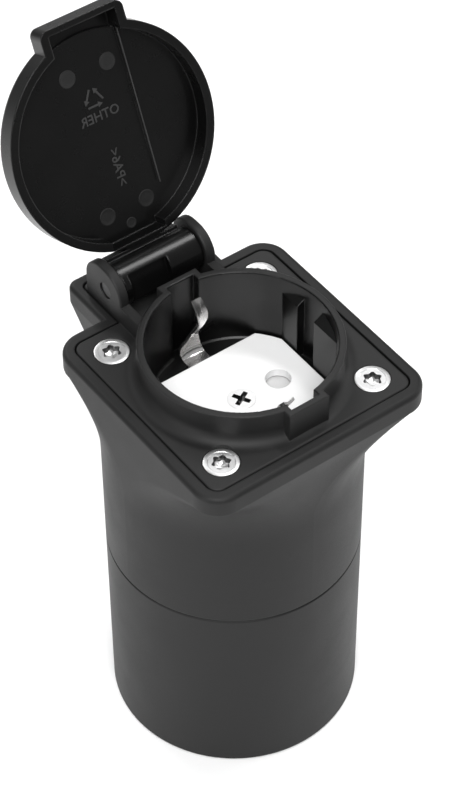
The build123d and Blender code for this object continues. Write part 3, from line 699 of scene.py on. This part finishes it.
def screw_head(radius):
    """One countersunk screw whose flat head is at height 0, as a mesh."""
    rim = 0.06 * radius
    lobed = lobes(recess_radius, lobe_depth)
    narrow = scaled(lobed, 0.9)
    outlines = [
        (circle(0.8 * shank_radius), -shank_length),  # the blunt tip
        (circle(shank_radius), -shank_length + 0.4 * shank_radius),
        (circle(shank_radius), -(radius - shank_radius) - head_side),  # the cone
        (circle(radius), -head_side),
        (circle(radius), -rim),  # the rounded rim
        (circle(radius - 0.3 * rim), -0.3 * rim),
        (circle(radius - rim), 0),
        (circle(0.76 * radius), 0),  # the step
        (circle(0.73 * radius), -step_depth),
        (widened(lobed, recess_chamfer), -step_depth),  # the chamfer
        (lobed, -chamfer_depth),
        (narrow, -recess_depth),  # the recess and its pointed floor
        (scaled(narrow, 0.45), -recess_depth - recess_tip),
    ]
    shape = bmesh.new()
    skin_rings(shape, [ring_points(outline, height) for outline, height in outlines])
    mesh = bpy.data.meshes.new("screw")
    bmesh.ops.recalc_face_normals(shape, faces=shape.faces)
    shape.to_mesh(mesh)
    shape.free()
    smooth(mesh)
    return mesh


screw_names = [f"flange_screw_{row}_{side}" for row in ("front", "back")
               for side in ("left", "right")]
screw_boxes = [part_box(name) for name in screw_names]
first_low, first_high = screw_boxes[0]
pattern_mesh = screw_head((first_high[0] - first_low[0]) / 2)
print("one screw:", len(pattern_mesh.vertices), "points")

# %% [markdown]
# ## A tree that sets the screws
#
# The four screws are copies of one, so Geometry Nodes place them: a grid of two by two points is
# the square, each point takes one screw, and a random value with a fixed seed turns each one, as
# screws end up when they are driven. The walls of the recess, a little below the head's top, get
# the darker steel as painted shade. The floor of the recess is deeper than that and stays bright.

# %% Write the tree
turn_seed = 4
largest_turn = pi / 3
dark_middle, dark_reach = 0.6 * MM, 0.5 * MM
tree_inputs = {"Geometry": "NodeSocketGeometry", "Screw": "NodeSocketObject",
               "Spacing": "NodeSocketFloat", "Centre": "NodeSocketVector"}


def screw_tree(material, shade_material):
    """A tree that sets a screw on the corners of a square and paints shade into its recess."""
    tree = bpy.data.node_groups.new("screws_on_a_square", "GeometryNodeTree")
    for name, kind in tree_inputs.items():
        tree.interface.new_socket(name, in_out="INPUT", socket_type=kind)
    tree.interface.new_socket("Geometry", in_out="OUTPUT", socket_type="NodeSocketGeometry")
    given = add_node(tree, "NodeGroupInput").outputs
    grid = add_node(tree, "GeometryNodeMeshGrid", {
        "Vertices X": 2, "Vertices Y": 2, "Size X": given["Spacing"], "Size Y": given["Spacing"]})
    corners = add_node(tree, "GeometryNodeTransform", {
        "Geometry": grid.outputs["Mesh"], "Translation": given["Centre"]})
    screw = add_node(tree, "GeometryNodeObjectInfo", {"Object": given["Screw"]})
    turn = add_node(tree, "FunctionNodeRandomValue", {"Max": largest_turn, "Seed": turn_seed},
                    data_type="FLOAT")
    axis = add_node(tree, "ShaderNodeCombineXYZ", {"Z": turn.outputs["Value"]})
    copies = add_node(tree, "GeometryNodeInstanceOnPoints", {
        "Points": corners.outputs["Geometry"], "Instance": screw.outputs["Geometry"],
        "Rotation": axis.outputs["Vector"]})
    real = add_node(tree, "GeometryNodeRealizeInstances", {
        "Geometry": copies.outputs["Instances"]})
    dressed = add_node(tree, "GeometryNodeSetMaterial", {
        "Geometry": real.outputs["Geometry"], "Material": material})
    position = add_node(tree, "GeometryNodeInputPosition").outputs["Position"]
    height = add_node(tree, "ShaderNodeSeparateXYZ", {"Vector": position})
    top = add_node(tree, "ShaderNodeSeparateXYZ", {"Vector": given["Centre"]})
    level = add_node(tree, "ShaderNodeMath", {0: top.outputs["Z"], 1: dark_middle},
                     operation="SUBTRACT")
    # A band a little below the head's top gets the darker steel as painted shade.
    dark = add_node(tree, "FunctionNodeCompare", {
        0: height.outputs["Z"], 1: level.outputs["Value"], "Epsilon": dark_reach},
        data_type="FLOAT", operation="EQUAL")
    shaded = add_node(tree, "GeometryNodeSetMaterial", {
        "Geometry": dressed.outputs["Geometry"], "Selection": dark.outputs["Result"],
        "Material": shade_material})
    add_node(tree, "NodeGroupOutput", {"Geometry": shaded.outputs["Geometry"]})
    return tree


screws_on_a_square = screw_tree(stainless, recess_shade_steel)
print("nodes in the tree:", len(screws_on_a_square.nodes))

# %% [markdown]
# ## Set the screws
#
# The tree works on an empty carrier. Its inputs are the pattern screw and the square, which is
# measured on the CAD screws. The result is kept as a mesh and the carrier is removed, so the
# model doesn't depend on the tree.

# %% Set the screws
def set_input(modifier, name, value):
    """Sets a modifier's input by the identifier of the socket with that name."""
    for item in modifier.node_group.interface.items_tree:
        if item.in_out == "INPUT" and item.name == name:
            modifier[item.identifier] = value


centres_x = [(low[0] + high[0]) / 2 for low, high in screw_boxes]
centres_y = [(low[1] + high[1]) / 2 for low, high in screw_boxes]
square_centre = Vector((sum(centres_x) / 4, sum(centres_y) / 4, first_high[2]))
pattern = bpy.data.objects.new("screw_pattern", pattern_mesh)
carrier = bpy.data.objects.new("screw_carrier", bpy.data.meshes.new("screw_carrier"))
bpy.context.scene.collection.objects.link(carrier)
modifier = carrier.modifiers.new("screws", "NODES")
modifier.node_group = screws_on_a_square
set_input(modifier, "Screw", pattern)
set_input(modifier, "Spacing", centres_x[1] - centres_x[0])
set_input(modifier, "Centre", square_centre)
evaluated = carrier.evaluated_get(bpy.context.evaluated_depsgraph_get())
screws_mesh = bpy.data.meshes.new_from_object(evaluated)
carrier.modifiers.remove(modifier)
bpy.data.objects.remove(carrier)
bpy.data.objects.remove(pattern)
flange_screws = bpy.data.objects.new("flange_screws", screws_mesh)
bpy.context.scene.collection.objects.link(flange_screws)
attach(flange_screws, "body")
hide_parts(*screw_names)
print("flange screws:", len(screws_mesh.vertices), "points")

# %% [markdown]
# ## The cover's screw
#
# The white cover is held by one screw with a cross recess. The recess narrows as it goes down and
# is cut as rings. Its dark walls are what the photograph shows, and below the flat top they get
# the darker steel as painted shade.

# %% Build the cover's screw
cover_shank, cover_tip = 1.5 * MM, 1.2 * MM
cover_rim = 0.06 * MM
bright_depth = 0.04 * MM
cover_screw_turn = radians(28)


def build_cover_screw():
    """The centre screw with its cross recess and its shank."""
    low, high = (Vector(corner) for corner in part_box("cover_screw"))
    middle = (low + high) / 2
    radius = (high.x - low.x) / 2
    top = high.z
    crossed = cross(0.66 * radius, 0.17 * radius)
    outlines = [
        (circle(cover_tip), low.z),  # the blunt tip
        (circle(cover_shank), low.z + 0.5 * MM),
        (circle(cover_shank), top - (radius - cover_shank)),  # the cone
        (circle(radius), top - 0.05 * MM),
        (circle(radius - cover_rim), top),  # the flat top
        (circle(0.72 * radius), top),
        (widened(crossed, cover_rim), top),  # the chamfer
        (crossed, top - 0.12 * MM),
        (scaled(crossed, 0.8), top - 0.9 * MM),  # the recess and its pointed floor
        (scaled(crossed, 0.3), top - 1.3 * MM),
    ]
    centre = (middle.x, middle.y)
    shape = bmesh.new()
    skin_rings(shape, [ring_points(outline, height, centre) for outline, height in outlines])
    turn = (Matrix.Translation(middle) @ Matrix.Rotation(cover_screw_turn, 4, "Z")
            @ Matrix.Translation(-middle))
    bmesh.ops.transform(shape, matrix=turn, verts=shape.verts)
    piece = add_piece("cover_screw_head", shape, bright_zinc, "body")
    # Faces below the flat top get the darker steel, as painted shade in the recess.
    piece.data.materials.append(recess_shade_steel)
    for face in piece.data.polygons:
        face.material_index = int(face.center.z < top - bright_depth)
    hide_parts("cover_screw")
    return piece


cover_screw = build_cover_screw()
print("cover screw:", len(cover_screw.data.vertices), "points")

# %% [markdown]
# ## The marks inside the lid
#
# The pins that push the lid out of its mould leave round marks on its inner face. Here they are
# thin discs with a soft rim. They are laid out on the closed lid, where their places are easy to
# give, and then swung open about the hinge with the lid's own angle.

# %% Build the ejector marks
open_angle = radians(113.6)
hinge_low, hinge_high = (Vector(corner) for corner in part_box("hinge_pin"))
hinge_middle = (hinge_low + hinge_high) / 2
lid_floor = hinge_middle.z + 5.9 * MM
# Each mark has its x and y from the socket's axis and its radius, in millimetres.
marks = [(-4.9, -13.5, 1.9), (4.9, -13.5, 1.9), (-4.9, 17.7, 1.9), (4.9, 17.7, 1.9),
         (0.0, 21.2, 1.2)]
mark_points = 40


def swing_open(shape):
    """Turns a shape laid out on the closed lid to the stored, open place."""
    swing = (Matrix.Translation(hinge_middle) @ Matrix.Rotation(-open_angle, 4, "X")
             @ Matrix.Translation(-hinge_middle))
    bmesh.ops.transform(shape, matrix=swing, verts=shape.verts)
    return shape


def build_marks():
    """Thin round marks on the lid's inner face."""
    shape = bmesh.new()
    for x, y, radius in marks:
        place = (x * MM, socket_y + y * MM)
        # Radius and height in millimetres: the rim stands twice as far out as the disc in it.
        profile = [(radius, 0.0), (radius, -0.05), (radius - 0.1, -0.1), (radius - 0.25, -0.1),
                   (radius - 0.4, -0.05), (0.4 * radius, -0.05)]
        skin_rings(shape, [ring_points(circle(r * MM, mark_points), lid_floor + h * MM, place)
                           for r, h in profile])
    add_piece("lid_ejector_marks", swing_open(shape), mark_plastic, "lid")


build_marks()
print("ejector marks:", len(marks))

# %% [markdown]
# ## The words inside the lid
#
# A moulded lid names its plastic in raised strokes, so that it can be sorted later. The letters are
# a text turned into a mesh. They stand a tenth of a millimetre above the floor. In the photograph
# they read mirrored, and laid flat on the closed lid's floor and swung open they do so here too.

# %% Write the raised letters
mark_height, mark_sink = 0.1 * MM, 0.02 * MM
stroke_growth = 0.03 * MM
# Each word has its size, its x and y from the socket's axis in millimetres, and its turn.
mark_texts = [("OTHER", 2.9, -0.1, -3.3, 180), (">PA6<", 3.0, 0.6, 8.6, -90)]


def add_text(shape, text, size, x, y, turn):
    """Raised letters on the closed lid's floor."""
    curve = bpy.data.curves.new("mark", "FONT")
    curve.body = text
    curve.size = size * MM
    curve.align_x = "CENTER"
    curve.align_y = "CENTER"
    curve.resolution_u = 3
    curve.extrude = (mark_height + mark_sink) / 2
    curve.offset = stroke_growth
    holder = bpy.data.objects.new("mark", curve)
    bpy.context.scene.collection.objects.link(holder)
    evaluated = holder.evaluated_get(bpy.context.evaluated_depsgraph_get())
    letters = bpy.data.meshes.new_from_object(evaluated)
    bpy.data.objects.remove(holder)
    place = Vector((x * MM, socket_y + y * MM, lid_floor + (mark_sink - mark_height) / 2))
    letters.transform(Matrix.Translation(place) @ Matrix.Rotation(radians(turn), 4, "Z"))
    shape.from_mesh(letters)
    bpy.data.meshes.remove(letters)


mark_shape = bmesh.new()
for mark_text in mark_texts:
    add_text(mark_shape, *mark_text)
print("letters:", len(mark_shape.verts), "points")

# %% [markdown]
# ## The arrows inside the lid
#
# Above the first word three arrows chase each other round a triangle. One arrow is an outline of
# seven corners. It is moved out from the triangle's middle and turned by a third of a circle for
# each of the three. The arrows and the letters are one piece.

# %% Add the arrows
# An arrow's corners, along it and across it in millimetres.
arrow_outline = [(-1.7, -0.22), (0.7, -0.22), (0.7, -0.65), (1.8, 0.0), (0.7, 0.65),
                 (0.7, 0.22), (-1.7, 0.22)]
arrow_reach = 1.5
arrow_x, arrow_y = -0.5, -7.3
weld_distance = 0.002 * MM


def add_arrow(shape, angle):
    """One of the three arrows that chase each other round a triangle."""
    corners = []
    for along, across in arrow_outline:
        out = arrow_reach + across
        corners.append(((arrow_x + along * cos(angle) - out * sin(angle)) * MM,
                        socket_y + (arrow_y + along * sin(angle) + out * cos(angle)) * MM))
    skin_rings(shape, [[Vector((x, y, lid_floor + height)) for x, y in corners]
                       for height in (mark_sink, -mark_height)])


for i in range(3):
    add_arrow(mark_shape, 2 * pi * i / 3)
bmesh.ops.remove_doubles(mark_shape, verts=mark_shape.verts, dist=weld_distance)
material_mark = add_piece("lid_material_mark", swing_open(mark_shape), raised_and_highlight_plastic,
                          "lid")
print("material mark:", len(material_mark.data.vertices), "points")

# %% [markdown]
# ## The crest of the lid's rib
#
# A low rib crosses the lid's floor. Its top is rounded and catches the light as a thin bright line,
# so the CAD rib gets a crest: a flat arc drawn out along the rib, in a paler plastic that paints
# that line on as a painted highlight.

# %% Build the rib's crest
# All of these are in millimetres: the rib's place and height, then the arc on it.
rib_x, rib_front, rib_back, rib_top = 8.7, -19.9, 15.4, 0.8
crest_half_width, crest_height, crest_sink = 0.14, 0.08, 0.05
arc_steps = 8


def build_rib_crest():
    """The rounded top of the rib on the lid's floor, paler as a painted highlight."""
    angles = [pi * i / arc_steps for i in range(arc_steps + 1)]
    outline = [(crest_half_width, -crest_sink)]
    outline += [(crest_half_width * cos(angle), crest_height * sin(angle)) for angle in angles]
    outline += [(-crest_half_width, -crest_sink)]
    rings = [[Vector(((rib_x + across) * MM, socket_y + y * MM, lid_floor - (rib_top + up) * MM))
              for across, up in outline] for y in (rib_front, rib_back)]
    shape = bmesh.new()
    skin_rings(shape, rings)
    return add_piece("lid_rib_crest", swing_open(shape), raised_and_highlight_plastic, "lid")


rib_crest = build_rib_crest()
print("rib crest:", len(rib_crest.data.vertices), "points")

# %% [markdown]
# ## The line of the earth clips
#
# The earth strap is pressed from one strip. Each end rises as a spring clip: a broad foot, a narrow
# neck that leans to one side and a dished hook that touches the plug. The CAD strap has straight
# arms, so this piece takes its place with the pressed form. Twelve sections along the strip,
# each with a left and a right edge and a dish, are joined by smooth curves.

# %% Lay out a clip
# Each section in millimetres: distance from the axis, height, left edge, right edge, dish.
clip_sections = [
    (2.7, 90.4, -2.7, 2.7, 0.0), (9.0, 90.4, -2.7, 2.7, 0.0), (14.5, 90.4, -2.7, 2.7, 0.0),
    (17.0, 90.5, -2.7, 2.7, 0.0), (18.1, 91.8, -2.7, 2.6, 0.25), (17.9, 93.8, -2.7, 2.1, 0.45),
    (17.0, 96.0, -1.9, 1.3, 0.3), (16.4, 98.2, -1.0, 0.8, 0.0), (15.6, 100.6, 0.0, 1.9, 0.2),
    (15.4, 102.6, 0.0, 2.6, 0.55), (16.0, 104.8, -0.2, 2.5, 0.6), (17.2, 106.6, -0.3, 2.1, 0.35),
]
steps_between = 8


def between(rows, steps):
    """More rows on the smooth curve through the given rows."""
    result = []
    last = len(rows) - 1
    for i in range(last):
        around = [rows[min(max(k, 0), last)] for k in (i - 1, i, i + 1, i + 2)]
        for step in range(steps):
            t = step / steps
            result.append([0.5 * (2 * b + (c - a) * t + (2 * a - 5 * b + 4 * c - d) * t * t
                                  + (3 * b - a - 3 * c + d) * t ** 3)
                           for a, b, c, d in zip(*around)])
    return result + [list(rows[-1])]


clip_rows = between(clip_sections, steps_between)
print("sections of a clip:", len(clip_rows))

# %% [markdown]
# ## From a line to a strip
#
# A section becomes a closed ring: the points of its top side, dished in the middle, and the same
# points a sheet's thickness below, in reverse. The direction of the thickness is square to the
# line of the clip, so the strip keeps its thickness where it bends.

# %% Thicken the strip
strip_thickness = 0.6 * MM
strip_steps = 12


def strip_rings(rows, side):
    """Closed sections of the strip, on one side of the socket's axis."""
    rings = []
    for i, (y, z, left, right, dish) in enumerate(rows):
        ahead, behind = rows[min(i + 1, len(rows) - 1)], rows[max(i - 1, 0)]
        out = Vector((0, ahead[1] - behind[1], behind[0] - ahead[0])).normalized()
        top, bottom = [], []
        for k in range(strip_steps + 1):
            u = k / strip_steps
            sink = dish * (1 - (2 * u - 1) ** 2)
            middle = Vector((left + (right - left) * u, y, z)) + out * sink
            top.append(middle * MM - out * strip_thickness / 2)
            bottom.append(middle * MM + out * strip_thickness / 2)
        ring = top + bottom[::-1]
        rings.append([Vector((side * p.x, socket_y + side * p.y, p.z)) for p in ring])
    return rings


print("points in a section:", len(strip_rings(clip_rows, 1)[0]))

# %% [markdown]
# ## Join the earth clips
#
# Both clips start at a square plate with a hole for the cover's screw. A flat leg goes down from
# one clip to the earth wire. The plate touches the clips and the leg reaches into one of them, so
# the piece reads as one strip.

# %% Build the earth clips
plate_half, hole_radius = 2.7 * MM, 1.8 * MM
plate_points = 64
plate_low, plate_high = 90.1 * MM, 90.7 * MM
leg_width, leg_thickness, leg_top = 4.8 * MM, 0.8 * MM, 90.3 * MM
leg_reach = 15.2 * MM


def add_plate(shape):
    """The square plate of the strap, with its round hole."""
    angles = [angle + pi / 4 for _, angle in circle(plate_half, plate_points)]
    square = [(plate_half / max(abs(cos(a)), abs(sin(a))), a) for a in angles]
    hole = [(hole_radius, a) for a in angles]
    levels = [(square, plate_low), (square, plate_high), (hole, plate_high), (hole, plate_low)]
    loops = skin_rings(shape, [ring_points(outline, height, (0, socket_y))
                               for outline, height in levels], close=False)
    first, last = loops[0], loops[-1]
    for i in range(plate_points):
        j = (i + 1) % plate_points
        shape.faces.new((last[i], last[j], first[j], first[i]))


def build_clips():
    """Both spring clips, the strip that joins them round the screw and the leg to the wire."""
    shape = bmesh.new()
    for side in (1, -1):
        skin_rings(shape, strip_rings(clip_rows, side))
    add_plate(shape)
    leg_bottom = Vector(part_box("earth_strap")[0]).z
    leg = bmesh.ops.create_cube(shape, size=1)["verts"]
    bmesh.ops.scale(shape, vec=(leg_width, leg_thickness, leg_top - leg_bottom), verts=leg)
    bmesh.ops.translate(shape, vec=(0, socket_y + leg_reach, (leg_top + leg_bottom) / 2),
                        verts=leg)
    piece = add_piece("earth_clips", shape, plated_steel, "body")
    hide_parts("earth_strap")
    return piece


earth_clips = build_clips()
print("earth clips:", len(earth_clips.data.vertices), "points")
